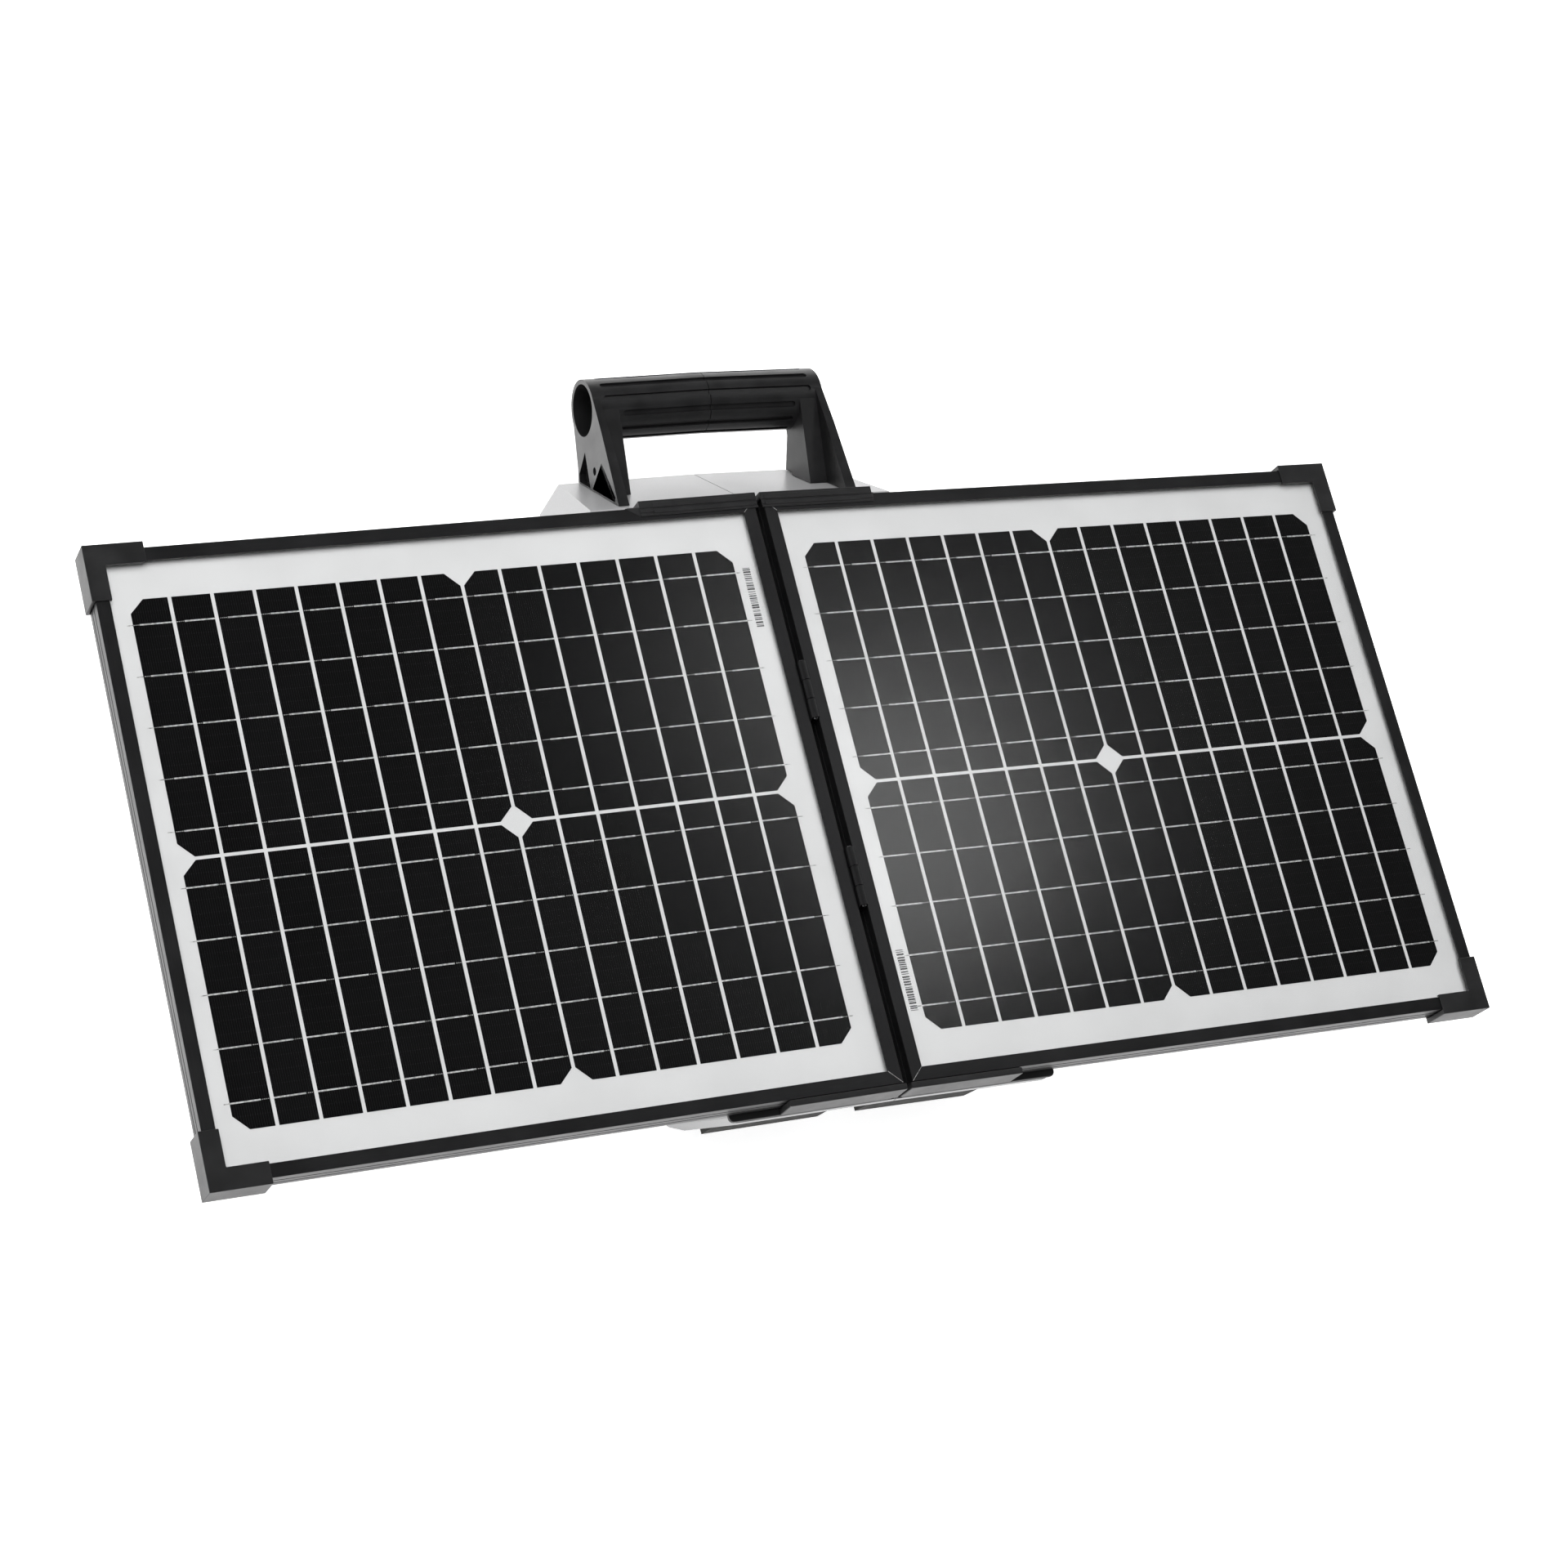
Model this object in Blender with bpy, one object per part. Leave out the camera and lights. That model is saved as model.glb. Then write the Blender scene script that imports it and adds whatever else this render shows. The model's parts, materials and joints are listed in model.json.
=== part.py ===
"""Folding solar panel: two framed modules on a common hinge, with a split rear housing and handle.

Each half is modelled in its own flat frame: x runs outwards from the hinge axis, y runs up the panel to
the handle and z points out of the glass, with zero on the hinge axis. An empty on the hinge axis carries
each half and leans it back by TILT, because the open panel rests a little past flat.
"""

import math

import bmesh
import bpy
from mathutils import Vector

# Driving dimensions, in metres
TILT = math.radians(1.55)  # each half leans back this far when the panel is open
FIT = 0.0003  # clearance between neighbouring pieces

FRAME_IN = 0.0031  # frame edge beside the hinge
FRAME_OUT = 0.4173  # outer frame edge
FRAME_TOP = 0.1875  # half the height of the frame
FRAME_FRONT = -0.0015
FRAME_BACK = -0.0185
LIP = 0.0082  # width of the frame's front lip
LIP_THICK = 0.0013
WALL = 0.0016
GLASS_THICK = 0.0032
LAMINATE_THICK = 0.0013
BACK_FLANGE = 0.0140

CAP_FRONT = -0.0003
CAP_BACK = -0.0203
CAP_PROUD = 0.0023  # beyond the outer rail
CAP_PROUD_END = 0.0035  # beyond the top and bottom rails
CAP_ARM_X = 0.0334
CAP_ARM_Y = 0.0312
CAP_WIDTH = 0.0095

CLIP_START = 0.0015
CLIP_END = 0.0788
CLIP_EDGE = 0.1917  # outer face of the edge clips
CLIP_RAMP = {"left": 0.0090, "right": 0.0016}  # of the top clips
LOW_CLIP_END = 0.0765
CLIP_BACK = -0.0186

CARRIER_FRONT = -0.0189
CARRIER_BACK = -0.0219
CARRIER_SIDE = 0.1080

HOUSING_FRONT = -0.0222
HOUSING_BACK = -0.1190
HOUSING_SIDE = 0.1065
HOUSING_WALL = 0.0028
SLOPE_START = (0.1961, -0.0192)  # foot of the sloping top, as y and z
SLOPE_END = (0.2415, -0.0785)
HOUSING_LOW = (-0.1915, -0.0260)  # the bottom slopes up from here
HOUSING_HEEL = (-0.1720, -0.1040)
HOUSING_LOW_BACK = -0.1650
HOUSING_HIGH_BACK = 0.1850
HEEL_CUT = (0.700, -0.679, -0.170, 0.20588)  # plane that cuts the lower outer edge
CORNER_CUT = (0.820, 0.504, 0.270, 0.1775)  # plane that cuts the top outer corner
MATING_GAP = 0.0002  # from each housing half to the hinge plane

COVER_X = (0.0160, 0.0920)
COVER_Y = (-0.1300, 0.1400)
COVER_THICK = 0.0026
COVER_RIM = 0.0060

TUBE_Y = 0.2760
TUBE_Z = -0.0470
TUBE_R = 0.0192
BORE_R = 0.0163
HANDLE_END = 0.0796
LEG_INNER = 0.0630
PLATE_INNER = 0.0748  # inner face of the plate outside each leg
PLATE_SPREAD = 0.032
SCREW_HOLE = (0.2350, -0.0487)
GROOVES = 12
GROOVE_WIDTH = 0.0036
GROOVE_DEPTH = 0.0017

FLOOR = -0.1250  # height of the floor under the hinge axis
FOOT_X = (0.0155, 0.0920)

KNUCKLE_R = 0.0026
KNUCKLE_BORE = 0.0015
PIN_R = 0.0012
HINGE_LENGTH = 0.0370
HINGE_SPACING = 0.0600  # from mid height to the middle of each hinge

HINGE_Y = -(TUBE_Y + TUBE_R - CLIP_EDGE) / 2  # puts the origin under the middle of the object
SIDES = {"left": -1.0, "right": 1.0}

COLOURS = {
    "anodised_black": ((0.018, 0.018, 0.019), 0.38, 0.6),
    "moulded_black": ((0.016, 0.016, 0.017), 0.45, 0.0),
    "housing_grey": ((0.42, 0.42, 0.43), 0.38, 0.1),
    "clear_glass": ((0.80, 0.85, 0.84), 0.05, 0.0),
    "cell_sheet": ((0.012, 0.013, 0.018), 0.30, 0.0),
    "rubber_black": ((0.020, 0.020, 0.020), 0.80, 0.0),
    "steel": ((0.55, 0.55, 0.56), 0.30, 1.0),
    "pack_wrap": ((0.03, 0.08, 0.20), 0.55, 0.0),
    "circuit_green": ((0.02, 0.12, 0.05), 0.50, 0.0),
}


def clear_scene():
    """Remove whatever the file holds."""
    for item in list(bpy.data.objects):
        bpy.data.objects.remove(item, do_unlink=True)


def material(kind):
    """A finish from COLOURS, with a Principled shader of its own."""
    colour, roughness, metallic = COLOURS[kind]
    made = bpy.data.materials.new(kind)
    made.use_nodes = True
    shader = made.node_tree.nodes["Principled BSDF"]
    shader.inputs["Base Color"].default_value = (*colour, 1.0)
    shader.inputs["Roughness"].default_value = roughness
    shader.inputs["Metallic"].default_value = metallic
    made.diffuse_color = (*colour, 1.0)
    return made


def loft(rings):
    """Closed skin over rings of equally many points, with a flat cap at each end."""
    bm = bmesh.new()
    loops = [[bm.verts.new(point) for point in ring] for ring in rings]
    count = len(loops[0])
    for near, far in zip(loops, loops[1:]):
        for i in range(count):
            j = (i + 1) % count
            bm.faces.new((near[i], near[j], far[j], far[i]))
    bm.faces.new(loops[0])
    bm.faces.new(loops[-1])
    return bm


def along_x(section, start, end):
    """Prism of a (y, z) section; start and end are x values or functions of y and z."""

    def at(x, y, z):
        return x(y, z) if callable(x) else x

    return loft([[(at(x, y, z), y, z) for y, z in section] for x in (start, end)])


def along_y(section, start, end):
    """Prism of an (x, z) section between two heights."""
    return loft([[(x, y, z) for x, z in section] for y in (start, end)])


def along_z(outline, low, high):
    """Prism of an (x, y) outline; low and high are z values or functions of x and y."""

    def at(z, x, y):
        return z(x, y) if callable(z) else z

    return loft([[(x, y, at(z, x, y)) for x, y in outline] for z in (low, high)])


def box(x, y, z):
    """Box between the pairs of values x, y and z."""
    return along_z([(x[0], y[0]), (x[1], y[0]), (x[1], y[1]), (x[0], y[1])], z[0], z[1])


def rounded(x, y, radius, steps=4):
    """Outline of a rectangle with round corners."""
    points = []
    middles = ((x[1] - radius, y[1] - radius), (x[0] + radius, y[1] - radius),
               (x[0] + radius, y[0] + radius), (x[1] - radius, y[0] + radius))
    for quarter, (cx, cy) in enumerate(middles):
        for step in range(steps + 1):
            turn = math.radians(90 * quarter + 90 * step / steps)
            points.append((cx + radius * math.cos(turn), cy + radius * math.sin(turn)))
    return points


def circle(centre, radius, count):
    """Points on a circle about a centre."""
    turns = [2 * math.pi * i / count for i in range(count)]
    return [(centre[0] + radius * math.cos(t), centre[1] + radius * math.sin(t)) for t in turns]


def merged(pieces):
    """One mesh of several pieces that don't touch."""
    whole = bmesh.new()
    for piece in pieces:
        mesh = bpy.data.meshes.new("piece")
        piece.to_mesh(mesh)
        piece.free()
        whole.from_mesh(mesh)
        bpy.data.meshes.remove(mesh)
    return whole


def make_object(name, bm, half, finish=None):
    """Object on a half, mirrored for the left one, with its faces pointing out."""
    for vertex in bm.verts:
        vertex.co.x *= half["sign"]
    bm.normal_update()
    bmesh.ops.recalc_face_normals(bm, faces=bm.faces)
    mesh = bpy.data.meshes.new(name)
    bm.to_mesh(mesh)
    bm.free()
    made = bpy.data.objects.new(name, mesh)
    if finish:
        mesh.materials.append(finish)
    bpy.context.collection.objects.link(made)
    made.parent = half["empty"]
    return made


def node(name, bm, half, finishes, kind):
    """Named sub-part of one half."""
    return make_object(f"{name}_{half['side']}", bm, half, finishes[kind])


def combine(target, operation, bm, half):
    """Boolean on a sub-part, with its tool kept as a wire guide."""
    tool = make_object(f"{target.name}_{operation.lower()}_{len(target.modifiers)}", bm, half)
    tool.hide_render = True
    tool.display_type = "WIRE"
    change = target.modifiers.new(operation.title(), "BOOLEAN")
    change.operation = operation
    change.object = tool
    change.solver = "EXACT"


def shade_round(item):
    """Smooth shading with sharp edges kept."""
    item.data.shade_smooth()
    item.data.set_sharp_from_angle(angle=math.radians(35))


def make_half(side):
    """Empty on the hinge axis that carries one half and leans it back."""
    empty = bpy.data.objects.new(f"{side}_half", None)
    bpy.context.collection.objects.link(empty)
    empty.location = (0.0, HINGE_Y, -FLOOR)
    empty.rotation_euler = (0.0, SIDES[side] * TILT, 0.0)
    return {"side": side, "sign": SIDES[side], "empty": empty}


def mating_x(_y, z):
    """Where a face of one half meets the upright hinge plane, less the mating gap."""
    return (MATING_GAP - z * math.sin(TILT)) / math.cos(TILT)


def slope_y(z):
    """Height of the housing's sloping top at a depth."""
    share = (z - SLOPE_START[1]) / (SLOPE_END[1] - SLOPE_START[1])
    return SLOPE_START[0] + share * (SLOPE_END[0] - SLOPE_START[0])


# Frame, glass and laminate


def rail_section():
    """Frame extrusion as (inward, z): lip, glazing channel, shelf, flange and two outer grooves."""
    shelf_top = FRAME_FRONT - LIP_THICK - GLASS_THICK - LAMINATE_THICK - 3 * FIT
    shelf_low = shelf_top - LIP_THICK
    flange_top = FRAME_BACK + LIP_THICK
    section = [(0, FRAME_FRONT), (LIP, FRAME_FRONT), (LIP, FRAME_FRONT - LIP_THICK)]
    section += [(WALL, FRAME_FRONT - LIP_THICK), (WALL, shelf_top), (0.009, shelf_top)]
    section += [(0.009, shelf_low), (WALL, shelf_low), (WALL, flange_top)]
    section += [(BACK_FLANGE, flange_top), (BACK_FLANGE, FRAME_BACK), (0, FRAME_BACK)]
    for middle in (-0.0135, -0.0085):
        for depth, offset in ((0, -0.0004), (0.0005, -0.0004), (0.0005, 0.0004), (0, 0.0004)):
            section.append((depth, middle + offset))
    return section


def make_rail(start, end, inward):
    """Rail between two outer corners, mitred at both, as (x, y) pairs."""
    start, end, inward = Vector(start), Vector(end), Vector(inward)
    run = (end - start).normalized()
    rings = []
    for corner, way in ((start, 1.0), (end, -1.0)):
        ring = []
        for depth, z in rail_section():
            point = corner + inward * depth + run * way * (depth + FIT / 2)
            ring.append((point.x, point.y, z))
        rings.append(ring)
    return loft(rings)


def make_frame(half, finishes):
    """Four mitred rails."""
    low, high = (FRAME_IN, -FRAME_TOP), (FRAME_OUT, FRAME_TOP)
    runs = {
        "frame_rail_top": ((low[0], high[1]), high, (0, -1)),
        "frame_rail_bottom": (low, (high[0], low[1]), (0, 1)),
        "frame_rail_hinge": (low, (low[0], high[1]), (1, 0)),
        "frame_rail_outer": ((high[0], low[1]), high, (-1, 0)),
    }
    for name, run in runs.items():
        node(name, make_rail(*run), half, finishes, "anodised_black")


def make_pane(inset, front, thick):
    """Flat pane inside the frame's channel."""
    x = (FRAME_IN + inset, FRAME_OUT - inset)
    y = (-FRAME_TOP + inset, FRAME_TOP - inset)
    return box(x, y, (front - thick, front))


def make_glazing(half, finishes):
    """Cover glass and the cell laminate behind it."""
    inset = WALL + 2 * FIT
    glass_front = FRAME_FRONT - LIP_THICK - FIT
    laminate_front = glass_front - GLASS_THICK - FIT
    glass = make_pane(inset, glass_front, GLASS_THICK)
    node("cover_glass", glass, half, finishes, "clear_glass")
    sheet = make_pane(inset, laminate_front, LAMINATE_THICK)
    node("cell_laminate", sheet, half, finishes, "cell_sheet")
    back = laminate_front - LAMINATE_THICK
    body = along_z(rounded((0.034, 0.096), (0.088, 0.134), 0.004), back - FIT - 0.0055, back - FIT)
    node("junction_box", body, half, finishes, "moulded_black")
    lid_front = back - 2 * FIT - 0.0055
    lid = along_z(rounded((0.033, 0.097), (0.087, 0.135), 0.005), lid_front - 0.0025, lid_front)
    node("junction_lid", lid, half, finishes, "moulded_black")


def make_cap(height):
    """Corner cap: a hooked section swept along two arms and mitred at the corner."""
    lip_gap = FRAME_FRONT + FIT
    section = [(-CAP_PROUD, CAP_FRONT), (CAP_WIDTH, CAP_FRONT), (CAP_WIDTH, FRAME_FRONT - LIP_THICK)]
    section += [(LIP + FIT, FRAME_FRONT - LIP_THICK), (LIP + FIT, lip_gap), (-FIT, lip_gap)]
    section += [(-FIT, FRAME_BACK - FIT), (0.012, FRAME_BACK - FIT), (0.012, CAP_BACK)]
    section += [(-CAP_PROUD, CAP_BACK)]
    way = math.copysign(1.0, height)
    rings = [[], [], []]
    for inward, z in section:
        along = inward if inward > -CAP_PROUD else -CAP_PROUD_END
        rings[0].append((FRAME_OUT - CAP_ARM_X, height - way * along, z))
        rings[1].append((FRAME_OUT - inward, height - way * along, z))
        rings[2].append((FRAME_OUT - inward, height - way * CAP_ARM_Y, z))
    return loft(rings)


def make_caps(half, finishes):
    """Caps over the two outer corners."""
    node("corner_cap_top", make_cap(FRAME_TOP), half, finishes, "moulded_black")
    node("corner_cap_bottom", make_cap(-FRAME_TOP), half, finishes, "moulded_black")


# Edge clips, carrier and rear housing


def make_clips(half, finishes):
    """Clip over the top rail, with a hooked front, and a plain one under the bottom rail."""
    ramp = CLIP_RAMP[half["side"]]
    inside = FRAME_TOP + FIT
    hook = 0.1816
    front = CAP_FRONT - 0.0001
    top = [(hook, FRAME_FRONT + FIT), (hook, front - 0.0004), (hook + 0.0004, front)]
    for middle in (0.1836, 0.1866):
        top += [(middle - 0.0005, front), (middle - 0.0003, front - 0.0004)]
        top += [(middle + 0.0003, front - 0.0004), (middle + 0.0005, front)]
    top += [(CLIP_EDGE, front), (CLIP_EDGE, -0.0139), (slope_y(CLIP_BACK), CLIP_BACK)]
    top += [(inside, CLIP_BACK), (inside, FRAME_FRONT + FIT)]

    def ramped_end(y, _z):
        """The end runs out towards the rail, so it's longest where it lies on the rail."""
        share = (abs(y) - inside) / (CLIP_EDGE - inside)
        return CLIP_END + ramp * max(0.0, min(1.0, 1.0 - share)) * (abs(y) >= inside)

    node("edge_clip_top", along_x(top, CLIP_START, ramped_end), half, finishes, "moulded_black")
    low_front = FRAME_FRONT + 0.0006
    low = [(-inside, low_front), (-CLIP_EDGE, low_front), (-CLIP_EDGE, CLIP_BACK), (-inside, CLIP_BACK)]
    bottom = along_x(low, CLIP_START, LOW_CLIP_END)
    node("edge_clip_bottom", bottom, half, finishes, "moulded_black")


def make_carrier(half, finishes):
    """Plate that joins the module to the housing."""
    outline = rounded((0.0022, CARRIER_SIDE), (-0.1914, 0.1896), 0.003)
    plate = along_z(outline, CARRIER_BACK, CARRIER_FRONT)
    node("carrier_plate", plate, half, finishes, "moulded_black")


def housing_form(shrink, front):
    """Convex form of the housing, each wall moved in by shrink, open end at front."""
    low_slope = Vector((HOUSING_HEEL[0] - HOUSING_LOW[0], HOUSING_HEEL[1] - HOUSING_LOW[1]))
    low_shift = shrink * low_slope.length / abs(low_slope.y)
    top_slope = Vector((SLOPE_END[0] - SLOPE_START[0], SLOPE_END[1] - SLOPE_START[1]))
    top_shift = shrink * top_slope.length / abs(top_slope.y)
    back = HOUSING_BACK + shrink
    section = [(HOUSING_LOW[0] + shrink, front), (HOUSING_LOW[0] + shrink, HOUSING_LOW[1])]
    section += [(HOUSING_HEEL[0] + low_shift, HOUSING_HEEL[1] + shrink / 3)]
    section += [(HOUSING_LOW_BACK + low_shift, back), (HOUSING_HIGH_BACK - shrink, back)]
    section += [(SLOPE_END[0] - top_shift, SLOPE_END[1] + shrink / 2)]
    if shrink:
        section += [(slope_y(front) - top_shift, front)]
    else:
        section += [SLOPE_START, (0.1902, SLOPE_START[1]), (0.1902, front)]

    def inner(y, z):
        return mating_x(y, z) + shrink

    form = along_x(section, inner, HOUSING_SIDE - shrink)
    for plane in (CORNER_CUT, HEEL_CUT):
        cut_off(form, plane, shrink)
    return form


def cut_off(form, plane, shrink):
    """Cut a convex form by a plane, given as its normal and its distance, and close it."""
    normal = Vector(plane[:3])
    point = normal.normalized() * (plane[3] / normal.length - shrink)
    geometry = form.verts[:] + form.edges[:] + form.faces[:]
    cut = bmesh.ops.bisect_plane(form, geom=geometry, plane_co=point, plane_no=normal, clear_outer=True)
    rim = [item for item in cut["geom_cut"] if isinstance(item, bmesh.types.BMEdge)]
    bmesh.ops.contextual_create(form, geom=rim)


def make_housing(half, finishes):
    """Rear shell, open to the carrier, with an access opening and a screwed cover."""
    shell = node("housing_shell", housing_form(0.0, HOUSING_FRONT), half, finishes, "housing_grey")
    combine(shell, "DIFFERENCE", housing_form(HOUSING_WALL, HOUSING_FRONT + 0.004), half)
    x = (COVER_X[0] + COVER_RIM, COVER_X[1] - COVER_RIM)
    y = (COVER_Y[0] + COVER_RIM, COVER_Y[1] - COVER_RIM)
    opening = along_z(rounded(x, y, 0.006), HOUSING_BACK - 0.002, HOUSING_BACK + HOUSING_WALL + 0.002)
    combine(shell, "DIFFERENCE", opening, half)
    cover_top = HOUSING_BACK - FIT
    cover = along_z(rounded(COVER_X, COVER_Y, 0.008), cover_top - COVER_THICK, cover_top)
    plate = node("rear_cover", cover, half, finishes, "housing_grey")
    combine(plate, "DIFFERENCE", screw_holes(cover_top), half)
    for number, place in enumerate(screw_places(), 1):
        screw = turned_z(place, ((0.0, 0.0016), (0.0014, 0.0016), (0.0014, 0.0030), (0.0026, 0.0027)), cover_top)
        item = make_object(f"cover_screw_{number}_{half['side']}", screw, half, finishes["steel"])
        shade_round(item)


def screw_places():
    """Where the four screws go through the cover's rim."""
    inset = 0.0075
    return [(x, y) for x in (COVER_X[0] + inset, COVER_X[1] - inset)
            for y in (COVER_Y[0] + inset, COVER_Y[1] - inset)]


def screw_holes(cover_top):
    """Stepped clearance for the four screws, as one tool."""
    holes = []
    for place in screw_places():
        steps = ((-0.002, 0.0019), (0.0011, 0.0019), (0.0011, 0.0033), (0.0045, 0.0033))
        holes.append(turned_z(place, steps, cover_top))
    return merged(holes)


def turned_z(place, steps, top, count=16):
    """Turned solid that points down, from steps of depth below top and radius."""
    rings = []
    for depth, radius in steps:
        rings.append([(x, y, top - depth) for x, y in circle(place, radius, count)])
    return loft(rings)


# Handle


def leg_section(points, feet, lift=0.0):
    """Leg section as (y, z): its upper points, then its feet on the sloping top at two depths."""
    return points + [(slope_y(z) + FIT * 1.3 + lift, z) for z in feet]


def above_slope(z, height):
    """Point (y, z) a height above the sloping top."""
    return slope_y(z) + FIT * 1.3 + height, z


def pocket_tools():
    """Cutters for the two pockets in the leg's outer face, deep only where there's material behind."""
    rear = [(0.2524, -0.0575), (0.2452, -0.0738), above_slope(-0.0758, 0.0010), above_slope(-0.0606, 0.0010)]
    rear_deep = [(0.2518, -0.0585), (0.2460, -0.0698), above_slope(-0.0725, 0.0016), above_slope(-0.0612, 0.0012)]
    fore = [(0.2343, -0.0352), above_slope(-0.0576, 0.0012), above_slope(-0.0270, 0.0012), (0.2060, -0.0250)]
    fore_deep = [(0.2322, -0.0412), above_slope(-0.0566, 0.0018), above_slope(-0.0452, 0.0018)]
    tools = [along_x(rear, PLATE_INNER + 0.0016, 0.0860), along_x(fore, PLATE_INNER + 0.0016, 0.0860)]
    tools += [along_x(rear_deep, 0.0690, 0.0840), along_x(fore_deep, 0.0690, 0.0840)]
    tools.append(along_x(circle(SCREW_HOLE, 0.0026, 14), 0.0700, 0.0850))
    return tools


def make_plate():
    """Outer plate of the leg, whose outer face spreads a little towards the foot."""
    section = leg_section([(0.2490, -0.0738), (0.2842, -0.0639), (0.2760, -0.0281), (0.2487, -0.0252)],
                          (-0.0225, -0.0778))
    plate = along_x(section, PLATE_INNER, HANDLE_END - 0.0001)
    for vert in plate.verts:
        if vert.co.x > PLATE_INNER + 0.001:
            vert.co.x += PLATE_SPREAD * (TUBE_Y - vert.co.y)
    return plate


def groove_tool(turn, end):
    """Cutter for one lengthwise groove in the tube, at a turn from the top towards the front."""
    half_width = GROOVE_WIDTH / 2
    across = Vector((-math.sin(turn), math.cos(turn)))
    out = Vector((math.cos(turn), math.sin(turn)))
    turns = [math.radians(-90 + 30 * i) for i in range(7)]
    outline = [(-0.004, -half_width)]
    outline += [(end - half_width * (1 - math.cos(t)), half_width * math.sin(t)) for t in turns]
    outline += [(-0.004, half_width)]
    rings = []
    for radius in (TUBE_R - GROOVE_DEPTH, TUBE_R + 0.002):
        ring = []
        for x, side in outline:
            point = Vector((TUBE_Y, TUBE_Z)) + out * radius + across * side
            ring.append((x, point.x, point.y))
        rings.append(ring)
    return loft(rings)


def make_handle(half, finishes):
    """Half of the tube with one leg, which stands on the housing's sloping top."""
    tube = along_x(circle((TUBE_Y, TUBE_Z), TUBE_R, 72), mating_x, HANDLE_END)
    handle = node("handle_half", tube, half, finishes, "moulded_black")
    combine(handle, "UNION", make_plate(), half)
    web = leg_section([(0.2640, -0.0600), (0.2660, -0.0330)], (-0.0450, -0.0765), 0.0002)
    combine(handle, "UNION", along_x(web, 0.0668, PLATE_INNER + 0.0021), half)
    column = leg_section([(0.2600, -0.0560), (0.2695, -0.0292)], (-0.0436, -0.0636), 0.0001)
    combine(handle, "UNION", along_x(column, LEG_INNER, PLATE_INNER + 0.0018), half)
    bore = along_x(circle((TUBE_Y, TUBE_Z), BORE_R, 72), -0.003, HANDLE_END + 0.003)
    combine(handle, "DIFFERENCE", bore, half)
    for tool in pocket_tools():
        combine(handle, "DIFFERENCE", tool, half)
    grooves = []
    for i in range(GROOVES):
        turn = math.radians(5 + 360 * i / GROOVES)
        under_leg = math.cos(turn) < -0.45
        grooves.append(groove_tool(turn, LEG_INNER - 0.003 if under_leg else 0.0720))
    combine(handle, "DIFFERENCE", merged(grooves), half)
    shade_round(handle)
    screw = along_x(circle(SCREW_HOLE, 0.0022, 14), 0.0704, 0.0785)
    shade_round(node("handle_screw", screw, half, finishes, "steel"))


# Inside and under the housing


def make_feet(half, finishes):
    """Foot under the bottom for standing, and rear feet whose undersides share one floor plane."""

    def floor_z(x, _y):
        return (x * math.sin(TILT) + FLOOR) / math.cos(TILT)

    top = HOUSING_BACK - FIT
    rest = (FOOT_X[0] + 0.006, FOOT_X[1] - 0.012)
    for name, y in (("foot_rear_lower", (-0.1600, -0.1420)), ("foot_rear_upper", (0.1500, 0.1680))):
        pad = along_z(rounded(rest, y, 0.003), floor_z, top)
        node(name, pad, half, finishes, "rubber_black")
    heel_y, heel_z = HOUSING_HEEL
    lean = (heel_y - HOUSING_LOW[0]) / (heel_z - HOUSING_LOW[1])
    start = -0.0855
    wedge = [(heel_y + lean * (start - heel_z) - FIT, start), (-0.1772, start)]
    wedge += [(-0.1757, heel_z), (heel_y - FIT, heel_z)]
    node("foot_bottom", along_x(wedge, *FOOT_X), half, finishes, "rubber_black")


def make_insides(halves, finishes):
    """Battery pack in the left housing, charge controller and output socket in the right."""
    left, right = halves["left"], halves["right"]
    pack = along_z(rounded((0.018, 0.090), (-0.110, 0.060), 0.006), -0.105, -0.045)
    make_object("battery_pack", pack, left, finishes["pack_wrap"])
    board = along_z(rounded((0.020, 0.088), (-0.020, 0.100), 0.002), -0.0430, -0.0414)
    make_object("charge_controller", board, right, finishes["circuit_green"])
    centre = (-0.140, -0.056)
    hole = along_x(circle(centre, 0.0083, 24), HOUSING_SIDE - 0.008, HOUSING_SIDE + 0.002)
    combine(bpy.data.objects["housing_shell_right"], "DIFFERENCE", hole, right)
    barrel = along_x(circle(centre, 0.0080, 24), HOUSING_SIDE - 0.016, HOUSING_SIDE + 0.0010)
    socket = make_object("output_socket", barrel, right, finishes["moulded_black"])
    rim = along_x(circle(centre, 0.0110, 24), HOUSING_SIDE + FIT, HOUSING_SIDE + 0.0030)
    combine(socket, "UNION", rim, right)
    mouth = along_x(circle(centre, 0.0055, 24), HOUSING_SIDE - 0.010, HOUSING_SIDE + 0.006)
    combine(socket, "DIFFERENCE", mouth, right)
    shade_round(socket)


# Hinges


def knuckle_section():
    """Rolled knuckle and its tail as (x, z), an open curl of sheet round the pin."""
    curl = math.radians(255)
    steps = 14
    tail = -0.0040
    outer = [(KNUCKLE_R * math.cos(curl * i / steps), KNUCKLE_R * math.sin(curl * i / steps))
             for i in range(steps + 1)]
    inner = [(KNUCKLE_BORE / KNUCKLE_R * x, KNUCKLE_BORE / KNUCKLE_R * z) for x, z in reversed(outer)]
    return [(KNUCKLE_R, tail)] + outer + inner + [(KNUCKLE_BORE, tail)]


def make_leaf(name, height, knuckles, half, finishes):
    """Leaf on a hinge rail with its knuckles, each a (low, high) share of the hinge's length."""
    low = height - HINGE_LENGTH / 2
    plate = box((KNUCKLE_BORE, KNUCKLE_R), (low, low + HINGE_LENGTH), (-0.0140, -0.0030))
    leaf = node(name, plate, half, finishes, "anodised_black")
    for start, end in knuckles:
        inset = 0.0002
        curl = along_y(knuckle_section(), low + HINGE_LENGTH * start + inset, low + HINGE_LENGTH * end - inset)
        combine(leaf, "UNION", curl, half)
    shade_round(leaf)


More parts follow.
